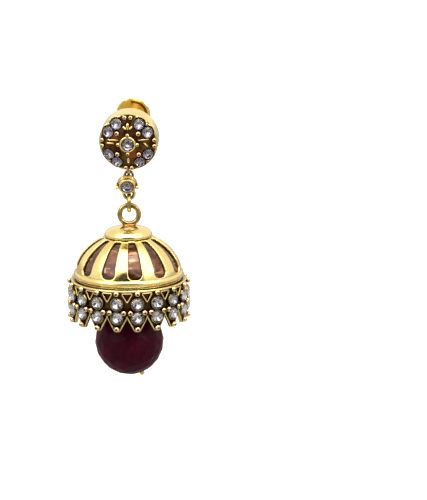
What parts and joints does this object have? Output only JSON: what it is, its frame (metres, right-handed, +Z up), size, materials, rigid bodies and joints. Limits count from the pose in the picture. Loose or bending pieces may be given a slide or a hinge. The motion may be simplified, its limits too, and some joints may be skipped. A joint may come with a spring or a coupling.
{
  "type": "jhumka earring",
  "caption": "Gold-tone jhumka drop earring: stone-set stud with post and nut, small jewelled link, ribbed bell with stone-set skirt and a wine-red bead.",
  "frame": {"origin": "on the axis of the ear post, midway between the stud's back and the nut, where the ear lobe sits", "axes": "+Z up as worn, +Y back towards the ear, the front of the earring faces -Y"},
  "size_m": [0.0215, 0.0232, 0.048],
  "materials": {
    "gold": "antique gold plating, polished on high spots and dark in the hollows",
    "crystal": "clear cut rhinestone",
    "wine_stone": "polished faceted wine-red bead"
  },
  "bodies": {
    "stud": {"stud_setting": "gold", "ear_nut": "gold", "stud_centre_stone": "crystal", "stud_stone_1": "crystal", "stud_stone_2": "crystal", "stud_stone_3": "crystal", "stud_stone_4": "crystal", "stud_stone_5": "crystal", "stud_stone_6": "crystal", "stud_stone_7": "crystal", "stud_stone_8": "crystal"},
    "link": {"link_setting": "gold", "link_stone": "crystal", "jump_ring": "gold"},
    "bell": {"bell_cap": "gold", "dome": "gold", "skirt": "gold", "ruby_bead": "wine_stone", "bead_pin": "gold"}
  },
  "joints": [
    {"name": "link_swing", "type": "hinge", "parent": "stud", "child": "link", "pos_m": [-0.00062, -0.004, -0.00835], "axis": [1, 0, 0], "range_deg": [-40, 40]},
    {"name": "bell_swing", "type": "hinge", "parent": "link", "child": "bell", "pos_m": [-0.00062, -0.004, -0.01514], "axis": [0, 1, 0], "range_deg": [-40, 40]}
  ]
}
